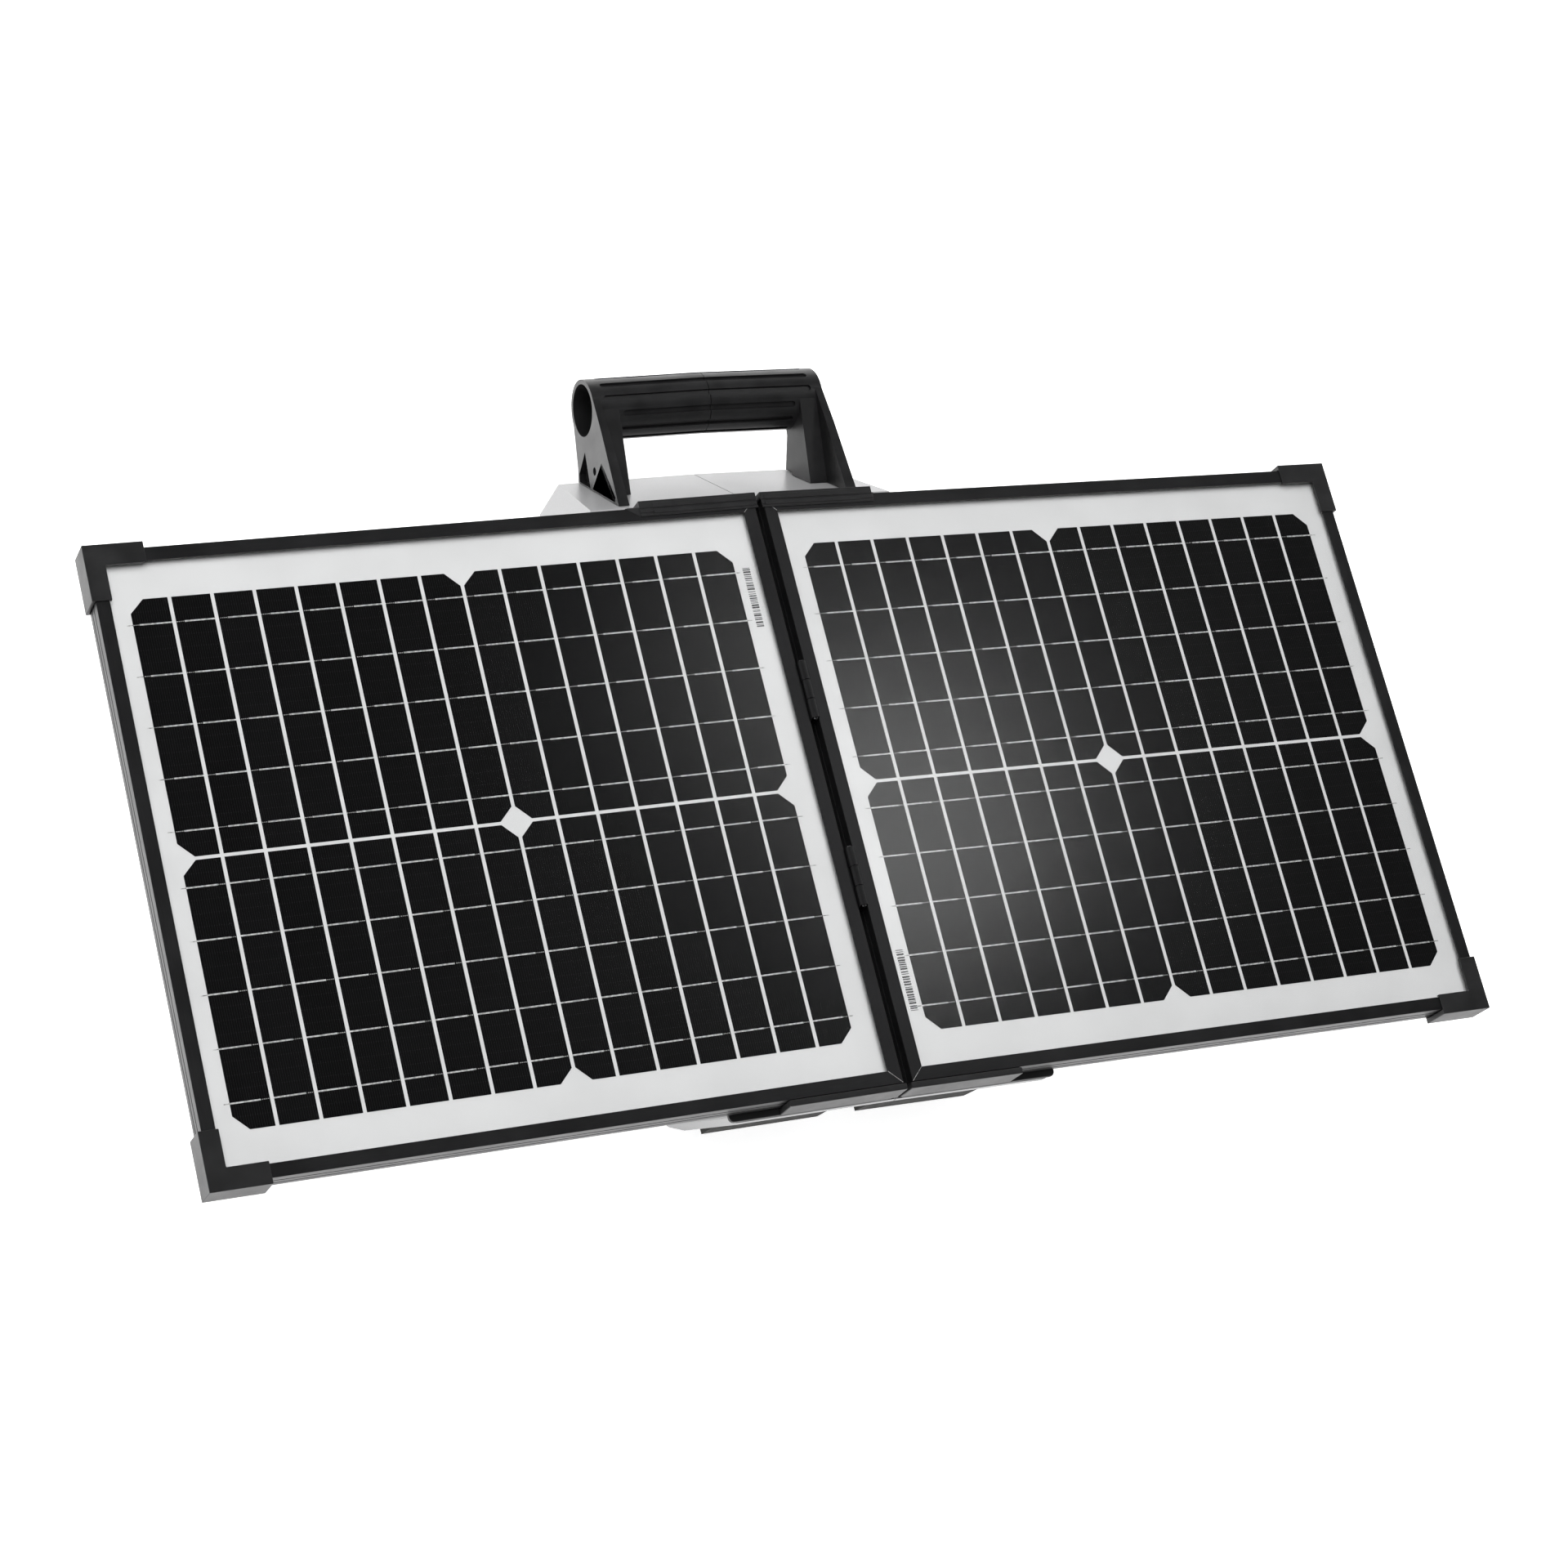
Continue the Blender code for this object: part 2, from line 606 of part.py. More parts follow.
def make_hinges(halves, finishes):
    """Two hinges in the gap between the frames: a leaf on each half and a pin."""
    for place, height in (("top", HINGE_SPACING), ("bottom", -HINGE_SPACING)):
        make_leaf(f"hinge_{place}_leaf", height, ((0.0, 0.333), (0.667, 1.0)), halves["left"], finishes)
        make_leaf(f"hinge_{place}_leaf", height, ((0.333, 0.667),), halves["right"], finishes)
        length = HINGE_LENGTH / 2 + 0.0005
        pin = along_y(circle((0.0, 0.0), PIN_R, 16), height - length, height + length)
        shade_round(make_object(f"hinge_{place}_pin", pin, halves["left"], finishes["steel"]))


def main():
    clear_scene()
    finishes = {kind: material(kind) for kind in COLOURS}
    halves = {side: make_half(side) for side in SIDES}
    for half in halves.values():
        make_frame(half, finishes)
        make_glazing(half, finishes)
        make_caps(half, finishes)
        make_clips(half, finishes)
        make_carrier(half, finishes)
        make_housing(half, finishes)
        make_handle(half, finishes)
        make_feet(half, finishes)
    make_insides(halves, finishes)
    make_hinges(halves, finishes)


main()
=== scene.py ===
"""Folding solar panel: finishes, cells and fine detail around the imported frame, laid out as an add-on."""

import json
import math
import random

import bmesh
import bpy
from bpy.props import FloatProperty, FloatVectorProperty, IntProperty, PointerProperty
from mathutils import Matrix, Vector
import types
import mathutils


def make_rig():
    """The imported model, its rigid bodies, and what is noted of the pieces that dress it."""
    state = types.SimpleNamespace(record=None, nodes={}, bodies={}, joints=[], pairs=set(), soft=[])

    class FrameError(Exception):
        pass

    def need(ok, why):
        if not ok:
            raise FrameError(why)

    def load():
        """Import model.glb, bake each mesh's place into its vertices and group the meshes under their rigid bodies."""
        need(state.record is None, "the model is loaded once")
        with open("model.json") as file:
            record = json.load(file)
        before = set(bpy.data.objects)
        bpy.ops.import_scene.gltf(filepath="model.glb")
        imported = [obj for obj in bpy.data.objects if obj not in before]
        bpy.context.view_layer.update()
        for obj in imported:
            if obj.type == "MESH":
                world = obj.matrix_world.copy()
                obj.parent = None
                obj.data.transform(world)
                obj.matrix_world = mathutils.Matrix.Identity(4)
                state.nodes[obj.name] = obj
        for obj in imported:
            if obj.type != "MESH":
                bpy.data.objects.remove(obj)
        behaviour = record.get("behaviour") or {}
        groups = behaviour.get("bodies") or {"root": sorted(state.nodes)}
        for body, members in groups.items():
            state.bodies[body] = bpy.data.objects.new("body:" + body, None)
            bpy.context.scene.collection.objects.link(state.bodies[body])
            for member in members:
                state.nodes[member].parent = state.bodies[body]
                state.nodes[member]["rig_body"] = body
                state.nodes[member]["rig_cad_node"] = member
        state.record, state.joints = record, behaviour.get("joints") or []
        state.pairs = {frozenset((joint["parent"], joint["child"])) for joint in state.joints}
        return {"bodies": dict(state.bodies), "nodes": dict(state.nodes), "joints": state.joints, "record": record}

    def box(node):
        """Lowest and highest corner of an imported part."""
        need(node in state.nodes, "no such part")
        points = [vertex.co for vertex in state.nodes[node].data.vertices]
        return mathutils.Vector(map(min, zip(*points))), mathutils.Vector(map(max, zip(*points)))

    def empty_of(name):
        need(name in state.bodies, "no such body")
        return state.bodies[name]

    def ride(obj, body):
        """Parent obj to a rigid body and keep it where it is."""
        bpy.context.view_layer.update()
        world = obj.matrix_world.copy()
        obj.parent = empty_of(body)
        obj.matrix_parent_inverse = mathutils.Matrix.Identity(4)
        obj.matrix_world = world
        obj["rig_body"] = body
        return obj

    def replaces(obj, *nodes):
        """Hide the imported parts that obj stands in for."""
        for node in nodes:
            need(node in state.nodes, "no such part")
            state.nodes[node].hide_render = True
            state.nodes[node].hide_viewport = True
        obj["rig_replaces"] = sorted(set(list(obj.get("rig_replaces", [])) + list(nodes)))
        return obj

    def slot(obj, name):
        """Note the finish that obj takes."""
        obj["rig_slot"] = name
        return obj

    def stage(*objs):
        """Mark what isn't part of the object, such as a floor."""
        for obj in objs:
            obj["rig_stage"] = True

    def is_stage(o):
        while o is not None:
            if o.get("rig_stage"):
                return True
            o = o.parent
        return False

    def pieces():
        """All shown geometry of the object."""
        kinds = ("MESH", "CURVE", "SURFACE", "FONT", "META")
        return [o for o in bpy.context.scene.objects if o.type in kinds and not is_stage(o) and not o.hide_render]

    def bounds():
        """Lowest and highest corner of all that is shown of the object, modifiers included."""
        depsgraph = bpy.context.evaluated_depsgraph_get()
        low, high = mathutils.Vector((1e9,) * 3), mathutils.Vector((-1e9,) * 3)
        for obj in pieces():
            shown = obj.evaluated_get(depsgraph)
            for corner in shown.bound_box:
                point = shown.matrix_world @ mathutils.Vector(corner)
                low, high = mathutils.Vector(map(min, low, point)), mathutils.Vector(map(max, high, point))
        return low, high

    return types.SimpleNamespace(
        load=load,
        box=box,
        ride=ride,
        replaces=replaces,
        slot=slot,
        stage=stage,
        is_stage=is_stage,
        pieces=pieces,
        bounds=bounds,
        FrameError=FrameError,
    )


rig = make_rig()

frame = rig.load()
CAD_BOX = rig.bounds()

bl_info = {
    "name": "Folding Solar Panel",
    "version": (1, 0, 0),
    "blender": (4, 5, 0),
    "location": "3D View > Sidebar > Solar Panel",
    "description": "Builds the cells, glass, trim and finishes of a folding solar panel",
    "category": "Object",
}

MM = 0.001
SIDES = {"left": -1.0, "right": 1.0}

BARS = 5  # ribbons across each row
SHIFT_RIGHT = 0.5 * MM  # how much higher the right module's cells sit
LEAN_SHIFT = 0.16 * MM  # how far the lean moves the face of the laminate sideways
FINGER_WIDTH = 0.10 * MM
DOT_HEIGHT, DOT_WIDTH = 0.30 * MM, 0.62 * MM
# Heights above the laminate
CELL_BACK, CELL_FRONT = 0.01 * MM, 0.09 * MM
RIBBON_BACK, RIBBON_FRONT = 0.085 * MM, 0.16 * MM
STUB_BACK, STUB_FRONT = 0.005 * MM, 0.05 * MM
INK_BACK, INK_FRONT = 0.004 * MM, 0.02 * MM
PAD_FRONT = 0.11 * MM
# Sizes along and across the panel
PAD, PAD_GAP, PAD_HALF = 0.50 * MM, 0.62 * MM, 0.24 * MM
WANDER = (-0.2, 0.2)  # millimetres that a ribbon strays from its place
SHARE_SPREAD, STUB_SPREAD = (-0.06, 0.05), (0.8, 1.1)
RIB_ENDS = (4.0 * MM, 70.0 * MM)
RIBS = (  # across, then height above the clip
    ((183.2 * MM, 185.6 * MM), 0.25 * MM),
    ((187.0 * MM, 190.2 * MM), 0.22 * MM),
)
RIB_SUNK, RIB_EDGE = 0.3 * MM, 0.15 * MM
MITRE_START, MITRE_REACH, MITRE_HALF = 3.3 * MM, 7.8 * MM, 0.11 * MM
MITRE_INSET, MITRE_SUNK, MITRE_PROUD = 0.2 * MM, 0.2 * MM, 0.05 * MM
WELD, FLAT_WITHIN = 0.01 * MM, 0.6  # merge distance, and the degrees that count as flat
CODE_BARS = {  # along, then across
    "left": ((106 * MM, 145 * MM), (14.7 * MM, 19.5 * MM)),
    "right": ((-144 * MM, -106 * MM), (16.5 * MM, 21.3 * MM)),
}
SEEDS = {"ribbons": {"left": 7, "right": 11}, "bars": {"left": 23, "right": 29}}
COVER_EDGE, SOCKET_EDGE, HANDLE_EDGE = 0.5 * MM, 0.4 * MM, 0.35 * MM
COVER_SCREWS = 4
FLOOR_SIZE, FLOOR_DROP = 9.0, 0.0002
AIM = Vector((0.0, 0.0, 0.09))  # what the lights face
KEY_PLACE, KEY_SIZE = (-0.6, 0.5, 3.0), 2.6
SHEEN_SIZE = 0.30
SHEEN_RIGHT, SHEEN_LEFT = (0.94, 0.41, 1.62), (0.74, 0.62, 1.69)
CAMERA_RIGHT = Vector((0.89848, -0.23569, 0.37037))
CAMERA_UP = Vector((0.09269, 0.92649, 0.36473))
CAMERA_PLACE = Vector((-0.97763, -0.64483, 1.88369))  # from the hinge's middle
SENSOR_WIDTH = 36.0  # millimetres
HORIZON, ZENITH = (0.18, 0.75), (0.62, 0.025)  # height, brightness

FOLD = frame["joints"][0]
TILT = math.radians((FOLD["range_deg"][1] - 180.0) / 2)  # each half leans back this far


def mid_height():
    """Height of the middle of the modules along the hinge."""
    low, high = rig.box("frame_rail_hinge_left")
    return (low.y + high.y) / 2


HINGE = Vector((0.0, mid_height(), FOLD["pos_m"][2]))


def half_matrix(side):
    """From a half's flat frame, with x outwards from the hinge, to the row frame."""
    sign = SIDES[side]
    lean = Matrix.Rotation(sign * TILT, 4, "Y")
    return Matrix.Translation(HINGE) @ lean @ Matrix.Diagonal((sign, 1.0, 1.0, 1.0))


# Settings


class SolarCellSettings(bpy.types.PropertyGroup):
    """Sizes and colours of the cells and what is printed round them."""

    strip_pitch: FloatProperty(
        name="Strip pitch", description="Distance between neighbouring cell strips", default=25.0 * MM,
        unit="LENGTH")
    strip_gap: FloatProperty(
        name="Strip gap", description="White gap between neighbouring strips", default=2.2 * MM,
        unit="LENGTH")
    field_start: FloatProperty(
        name="Field start", description="From the hinge axis to the first strip", default=24.7 * MM,
        unit="LENGTH")
    strips: IntProperty(name="Strips", description="Cell strips in a row", default=15, min=1)
    first_group: IntProperty(
        name="First group", description="Strips cut from the wafer next to the hinge", default=7, min=1)
    wafer: FloatProperty(
        name="Wafer", description="Side of the wafer the strips are cut from", default=156.75 * MM,
        unit="LENGTH")
    row_gap: FloatProperty(
        name="Row gap", description="White gap between the two rows", default=2.0 * MM, unit="LENGTH")
    chamfer: FloatProperty(
        name="Chamfer", description="Cut corner of a wafer", default=8.5 * MM, unit="LENGTH")
    finger_pitch: FloatProperty(
        name="Finger pitch", description="Distance between printed fingers", default=1.4 * MM,
        unit="LENGTH")
    ribbon_width: FloatProperty(
        name="Ribbon width", description="Width of a soldered ribbon", default=0.9 * MM, unit="LENGTH")
    ribbon_share: FloatProperty(
        name="Ribbon share", description="Part of a strip that its ribbon covers", default=0.80,
        subtype="FACTOR", min=0.0, max=1.0)
    stub: FloatProperty(
        name="Ribbon stub", description="Ribbon that stands out past the last strip", default=3.6 * MM,
        unit="LENGTH")
    silicon: FloatVectorProperty(
        name="Silicon", description="Colour of the cells", default=(0.0016, 0.0016, 0.0018),
        subtype="COLOR")
    finger: FloatVectorProperty(
        name="Fingers", description="Colour of the printed silver", default=(0.040, 0.040, 0.042),
        subtype="COLOR")
    backsheet: FloatVectorProperty(
        name="Backsheet", description="Colour of the sheet behind the cells", default=(0.74, 0.74, 0.745),
        subtype="COLOR")


class SolarShellSettings(bpy.types.PropertyGroup):
    """Edges and colours of the frame, housing and handle."""

    metal_edge: FloatProperty(
        name="Metal edge", description="Edge radius of the extrusions", default=0.25 * MM, unit="LENGTH")
    trim_edge: FloatProperty(
        name="Trim edge", description="Edge radius of caps and clips", default=0.6 * MM, unit="LENGTH")
    cap_edge: FloatProperty(
        name="Cap edge", description="Edge radius of the corner caps", default=1.3 * MM, unit="LENGTH")
    shell_edge: FloatProperty(
        name="Shell edge", description="Edge radius of the housing", default=1.6 * MM, unit="LENGTH")
    black: FloatVectorProperty(
        name="Moulded black", description="Colour of the black mouldings",
        default=(0.0125, 0.0125, 0.0130), subtype="COLOR")
    anodised: FloatVectorProperty(
        name="Anodised black", description="Colour of the extrusions", default=(0.021, 0.021, 0.022),
        subtype="COLOR")
    grey: FloatVectorProperty(
        name="Housing grey", description="Colour of the rear housing", default=(0.36, 0.36, 0.365),
        subtype="COLOR")


class SolarStageSettings(bpy.types.PropertyGroup):
    """Floor, lights and lens."""

    floor: FloatVectorProperty(
        name="Floor", description="Colour of the floor", default=(0.86, 0.86, 0.86), subtype="COLOR")
    floor_glow: FloatProperty(
        name="Floor glow", description="Light that the floor sheet gives by itself", default=0.75, min=0.0)
    key: FloatProperty(
        name="Key light", description="Power of the overhead light", default=125.0, subtype="POWER")
    sheen: FloatProperty(
        name="Sheen light", description="Power of the main light seen in the glass",
        default=0.95, subtype="POWER")
    second_sheen: FloatProperty(
        name="Second sheen light", description="Power of the fainter light seen in the glass",
        default=0.32, subtype="POWER")
    lens: FloatProperty(name="Lens", description="Focal length in millimetres", default=85.44, min=1.0)


# Shader maths


class Signal:
    """A shader value: expressions on it add the Math nodes they need."""

    def __init__(self, finish, socket):
        self.finish = finish
        self.socket = socket

    def _math(self, operation, *values):
        return self.finish.node("Math", {"operation": operation}, dict(enumerate(values)))

    def __add__(self, other):
        return self._math("ADD", self, other)

    def __radd__(self, other):
        return self._math("ADD", other, self)

    def __sub__(self, other):
        return self._math("SUBTRACT", self, other)

    def __rsub__(self, other):
        return self._math("SUBTRACT", other, self)

    def __mul__(self, other):
        return self._math("MULTIPLY", self, other)

    def __rmul__(self, other):
        return self._math("MULTIPLY", other, self)

    def __truediv__(self, other):
        return self._math("DIVIDE", self, other)

    def __gt__(self, other):
        return self._math("GREATER_THAN", self, other)

    def __lt__(self, other):
        return self._math("LESS_THAN", self, other)

    def __abs__(self):
        return self._math("ABSOLUTE", self)

    def fract(self):
        return self._math("FRACT", self)

    def floor(self):
        return self._math("FLOOR", self)

    def power(self, exponent):
        return self._math("POWER", self, exponent)

    def larger(self, other):
        return self._math("MAXIMUM", self, other)

    def line(self, pitch, width, middle=0.0):
        """One within width of every multiple of pitch, counted from middle."""
        return abs(((self - middle) / pitch + 0.5).fract() - 0.5) < width / pitch / 2


class Finish:
    """A material being mixed, round one Principled shader."""

    def __init__(self, name, colour, roughness, **sockets):
        self.material = bpy.data.materials.new(name)
        self.material.use_nodes = True
        self.tree = self.material.node_tree
        self.shader = self.tree.nodes["Principled BSDF"]
        self.set("Base Color", colour)
        self.set("Roughness", roughness)
        for key, value in sockets.items():
            self.set(key.replace("_", " "), value)
        self.material.diffuse_color = (*colour[:3], 1.0)

    def node(self, kind, settings=None, values=None, output=0):
        """Add a node: its settings first, then the values or links of its sockets."""
        made = self.tree.nodes.new("ShaderNode" + kind)
        for key, value in (settings or {}).items():
            setattr(made, key, value)
        for key, value in (values or {}).items():
            self.feed(made.inputs[key], value)
        return Signal(self, made.outputs[output])

    def feed(self, socket, value):
        if isinstance(value, Signal):
            self.tree.links.new(value.socket, socket)
        elif socket.type == "RGBA" and len(value) == 3:
            socket.default_value = (*value, 1.0)
        else:
            socket.default_value = value

    def set(self, name, value):
        self.feed(self.shader.inputs[name], value)

    def spot(self):
        """Place on the piece, in metres."""
        return self.node("TexCoord", output="Object")

    def axis(self, name):
        """One coordinate of the place on the piece."""
        return self.node("SeparateXYZ", values={0: self.spot()}, output=name)

    def stretched(self, scale):
        """Place on the piece, scaled along each axis."""
        return self.node("Mapping", values={"Vector": self.spot(), "Scale": scale})

    def noise(self, size, detail=2.0, where=None, roughness=0.5):
        """Smooth noise from 0 to 1, with features of a size in metres."""
        values = {
            "Vector": where or self.spot(), "Scale": 1.0 / size, "Detail": detail,
            "Roughness": roughness}
        return self.node("TexNoise", values=values)

    def cells(self, size):
        """Distance inside rounded cells of a size in metres."""
        values = {"Vector": self.spot(), "Scale": 1.0 / size}
        return self.node("TexVoronoi", {"feature": "F1"}, values)

    def ramp(self, value, low, high, start=0.0, end=1.0):
        """Smooth change from start to end as value goes from low to high."""
        settings = {"interpolation_type": "SMOOTHSTEP"}
        values = {"Value": value, "From Min": low, "From Max": high, "To Min": start, "To Max": end}
        return self.node("MapRange", settings, values)

    def blend(self, share, first, second):
        """Colour between two colours."""
        made = self.tree.nodes.new("ShaderNodeMix")
        made.data_type = "RGBA"
        for index, value in ((0, share), (6, first), (7, second)):
            self.feed(made.inputs[index], value)
        return Signal(self, made.outputs[2])

    def bump(self, height, distance, strength):
        """Surface relief of a height in metres."""
        values = {"Height": height, "Distance": distance, "Strength": strength}
        self.set("Normal", self.node("Bump", values=values))


# Finishes


def shade(colour, factor):
    """A colour made lighter or darker."""
    return tuple(channel * factor for channel in colour)


def anodised_black(along):
    """Black anodised extrusion with draw lines along an axis, and a little dust."""
    colour = bpy.context.scene.solar_shell.anodised
    name = f"anodised_black_along_{along.lower()}"
    finish = Finish(name, colour, 0.36, Metallic=0.55, Specular_IOR_Level=0.6)
    scale = {"X": (0.02, 1.0, 1.0), "Y": (1.0, 0.02, 1.0)}[along]
    lines = finish.noise(0.35 * MM, 3.0, finish.stretched(scale))
    cloud = finish.noise(28 * MM, 3.0)
    tone = finish.ramp(cloud * 0.6 + lines * 0.4, 0.3, 0.75)
    finish.set("Base Color", finish.blend(tone, shade(colour, 0.8), shade(colour, 1.3)))
    finish.set("Roughness", finish.ramp(lines + cloud * 0.5, 0.4, 1.1, 0.30, 0.44))
    finish.bump(lines, 0.02 * MM, 0.35)
    return finish.material


def moulded_black(name, colour, grain, roughness):
    """Black moulded plastic with a spark-eroded grain and light handling marks."""
    finish = Finish(name, colour, roughness, Specular_IOR_Level=0.55)
    fine = finish.noise(grain, 4.0)
    cloud = finish.noise(18 * MM, 4.0, roughness=0.6)
    scuffs = finish.noise(0.9 * MM, 2.0, finish.stretched((0.12, 1.0, 0.5)))
    marks = finish.ramp(scuffs * cloud, 0.34, 0.42)
    tone = finish.ramp(cloud, 0.3, 0.7, 0.0, 0.6) + marks * 0.25
    finish.set("Base Color", finish.blend(tone, shade(colour, 0.85), shade(colour, 1.6)))
    finish.set("Roughness", finish.ramp(cloud + fine * 0.3, 0.3, 1.0, roughness - 0.06, roughness + 0.08))
    finish.bump(fine, 0.05 * MM, 0.5)
    return finish.material


def housing_grey():
    """Satin silver-grey plastic with a fine pearl grain."""
    colour = bpy.context.scene.solar_shell.grey
    finish = Finish("housing_grey", colour, 0.36, Metallic=0.15, Specular_IOR_Level=0.6)
    grain = finish.noise(0.5 * MM, 4.0)
    flake = finish.ramp(finish.cells(0.8 * MM), 0.25, 0.6)
    cloud = finish.noise(60 * MM, 4.0)
    tone = cloud * 0.6 + flake * 0.25 + grain * 0.15
    finish.set("Base Color", finish.blend(tone, shade(colour, 0.86), shade(colour, 1.14)))
    finish.set("Roughness", finish.ramp(cloud + grain * 0.4, 0.4, 1.1, 0.30, 0.42))
    finish.bump(grain, 0.03 * MM, 0.35)
    return finish.material


def rubber_black():
    """Matt black rubber with a coarse, dusty grain."""
    colour = (0.021, 0.021, 0.020)
    finish = Finish("rubber_black", colour, 0.8, Specular_IOR_Level=0.35)
    grain = finish.noise(0.7 * MM, 5.0, roughness=0.65)
    dust = finish.ramp(finish.noise(7 * MM, 4.0) * grain, 0.2, 0.42)
    finish.set("Base Color", finish.blend(dust, colour, (0.055, 0.053, 0.050)))
    finish.set("Roughness", finish.ramp(grain, 0.3, 0.7, 0.7, 0.9))
    finish.bump(grain, 0.12 * MM, 0.6)
    return finish.material


def plated_steel():
    """Zinc-plated steel with fine turning marks and a few dull patches."""
    finish = Finish("plated_steel", (0.55, 0.55, 0.56), 0.3, Metallic=1.0)
    patches = finish.noise(1.6 * MM, 4.0)
    turned = finish.noise(0.12 * MM, 2.0)
    tone = finish.ramp(patches, 0.4, 0.7)
    finish.set("Base Color", finish.blend(tone, (0.60, 0.60, 0.61), (0.40, 0.40, 0.42)))
    finish.set("Roughness", finish.ramp(patches + turned * 0.4, 0.4, 1.0, 0.2, 0.42))
    finish.bump(turned, 0.01 * MM, 0.4)
    return finish.material


def backsheet_white():
    """White backsheet, faintly mottled, with the weave of the film pressed into it."""
    colour = bpy.context.scene.solar_cells.backsheet
    finish = Finish("backsheet_white", colour, 0.55, Specular_IOR_Level=0.3)
    mottle = finish.noise(35 * MM, 4.0)
    specks = finish.ramp(finish.noise(2.4 * MM, 3.0), 0.70, 0.78)
    tone = finish.ramp(mottle, 0.3, 0.7, 0.0, 0.7)
    pale = finish.blend(tone, shade(colour, 0.96), shade(colour, 1.03))
    finish.set("Base Color", finish.blend(specks * 0.25, pale, shade(colour, 0.75)))
    finish.bump(finish.noise(0.9 * MM, 2.0), 0.02 * MM, 0.4)
    return finish.material


def cell_silicon(side):
    """Near-black silicon with printed fingers, dotted cross lines and busbars."""
    cells = bpy.context.scene.solar_cells
    finish = Finish(f"cell_silicon_{side}", cells.silicon, 0.32, Specular_IOR_Level=0.12)
    out = abs(finish.axis("X")) / math.cos(TILT) + LEAN_SHIFT - cells.field_start
    up = finish.axis("Y") - HINGE.y - row_shift(side)
    strip = (out / cells.strip_pitch).floor()
    bar_pitch = cells.wafer / BARS
    row_centre = (cells.wafer + cells.row_gap) / 2
    along = abs(up) - row_centre
    fingers = out.line(cells.finger_pitch, FINGER_WIDTH)
    dots = along.line(bar_pitch / 4, DOT_HEIGHT) * out.line(cells.finger_pitch, DOT_WIDTH)
    print_mask = (fingers * 0.9).larger(dots * 0.45)
    shine = finish.node("TexWhiteNoise", {"noise_dimensions": "1D"}, {"W": strip + (up > 0.0) * 31.0})
    haze = finish.noise(14 * MM, 3.0)
    tone = finish.ramp(shine * 0.6 + haze * 0.4, 0.2, 0.8)
    silicon = finish.blend(tone, shade(cells.silicon, 0.8), shade(cells.silicon, 1.5))
    finish.set("Base Color", finish.blend(print_mask, silicon, cells.finger))
    finish.set("Roughness", finish.ramp(print_mask, 0.0, 1.0, 0.30, 0.45))
    finish.bump(print_mask + finish.noise(0.3 * MM, 3.0) * 0.3, 0.015 * MM, 0.3)
    return finish.material


def tinned_ribbon():
    """Tinned copper ribbon, soldered flat and a little uneven."""
    finish = Finish("tinned_ribbon", (0.72, 0.72, 0.72), 0.38, Metallic=0.55)
    solder = finish.noise(1.7 * MM, 3.0)
    tone = finish.ramp(solder, 0.35, 0.65)
    finish.set("Base Color", finish.blend(tone, (0.50, 0.50, 0.50), (0.95, 0.95, 0.95)))
    finish.set("Roughness", finish.ramp(solder, 0.3, 0.7, 0.3, 0.5))
    finish.bump(solder, 0.05 * MM, 0.6)
    return finish.material


def dull_tin():
    """Ribbon ends under the film, blotchy where the film has let go."""
    finish = Finish("dull_tin", (0.40, 0.40, 0.40), 0.5, Metallic=0.2)
    blotches = finish.noise(0.8 * MM, 2.0)
    tone = finish.ramp(blotches, 0.42, 0.58)
    finish.set("Base Color", finish.blend(tone, (0.20, 0.20, 0.20), (0.62, 0.62, 0.62)))
    finish.bump(blotches, 0.03 * MM, 0.5)
    return finish.material


def cut_metal():
    """Bare saw-cut aluminium, scratched to lighter and darker grey."""
    finish = Finish("cut_metal", (0.42, 0.42, 0.42), 0.4, Metallic=0.5)
    cuts = finish.noise(0.25 * MM, 3.0, finish.stretched((1.0, 0.1, 1.0)))
    tone = finish.ramp(cuts, 0.35, 0.65)
    finish.set("Base Color", finish.blend(tone, (0.20, 0.20, 0.20), (0.60, 0.60, 0.60)))
    finish.bump(cuts, 0.02 * MM, 0.5)
    return finish.material


def printed_ink():
    """Dark grey ink printed on the backsheet."""
    finish = Finish("printed_ink", (0.03, 0.03, 0.03), 0.6)
    wear = finish.ramp(finish.noise(0.5 * MM, 2.0), 0.35, 0.65)
    finish.set("Base Color", finish.blend(wear, (0.02, 0.02, 0.022), (0.09, 0.09, 0.092)))
    return finish.material


def panel_glass():
    """Low-iron glass with a fine matt texture: clear, with a soft gloss on its skin."""
    finish = Finish("panel_glass", (0.86, 0.90, 0.89), 0.2)
    tree = finish.tree
    grain = finish.noise(0.8 * MM, 2.0)
    relief = finish.node("Bump", values={"Height": grain, "Distance": 0.05 * MM, "Strength": 0.55})
    clear = finish.node("BsdfTransparent", values={"Color": (0.965, 0.967, 0.966)})
    skin = {"Color": (1.0, 1.0, 1.0), "Roughness": 0.19, "Normal": relief}
    gloss = finish.node("BsdfGlossy", values=skin)
    slant = finish.node("LayerWeight", values={"Blend": 0.5}, output="Facing")
    edge = slant.power(5.0) * 0.96 + 0.026
    mixed = finish.node("MixShader", values={0: edge, 1: clear, 2: gloss})
    tree.nodes.remove(finish.shader)
    tree.links.new(mixed.socket, tree.nodes["Material Output"].inputs["Surface"])
    return finish.material


def pack_wrap():
    """Blue shrink wrap over battery cells."""
    finish = Finish("pack_wrap", (0.03, 0.08, 0.20), 0.4)
    folds = finish.noise(6 * MM, 4.0, finish.stretched((1.0, 0.3, 1.0)))
    finish.set("Base Color", finish.blend(folds, (0.02, 0.06, 0.16), (0.04, 0.11, 0.26)))
    finish.bump(folds, 0.4 * MM, 0.6)
    return finish.material


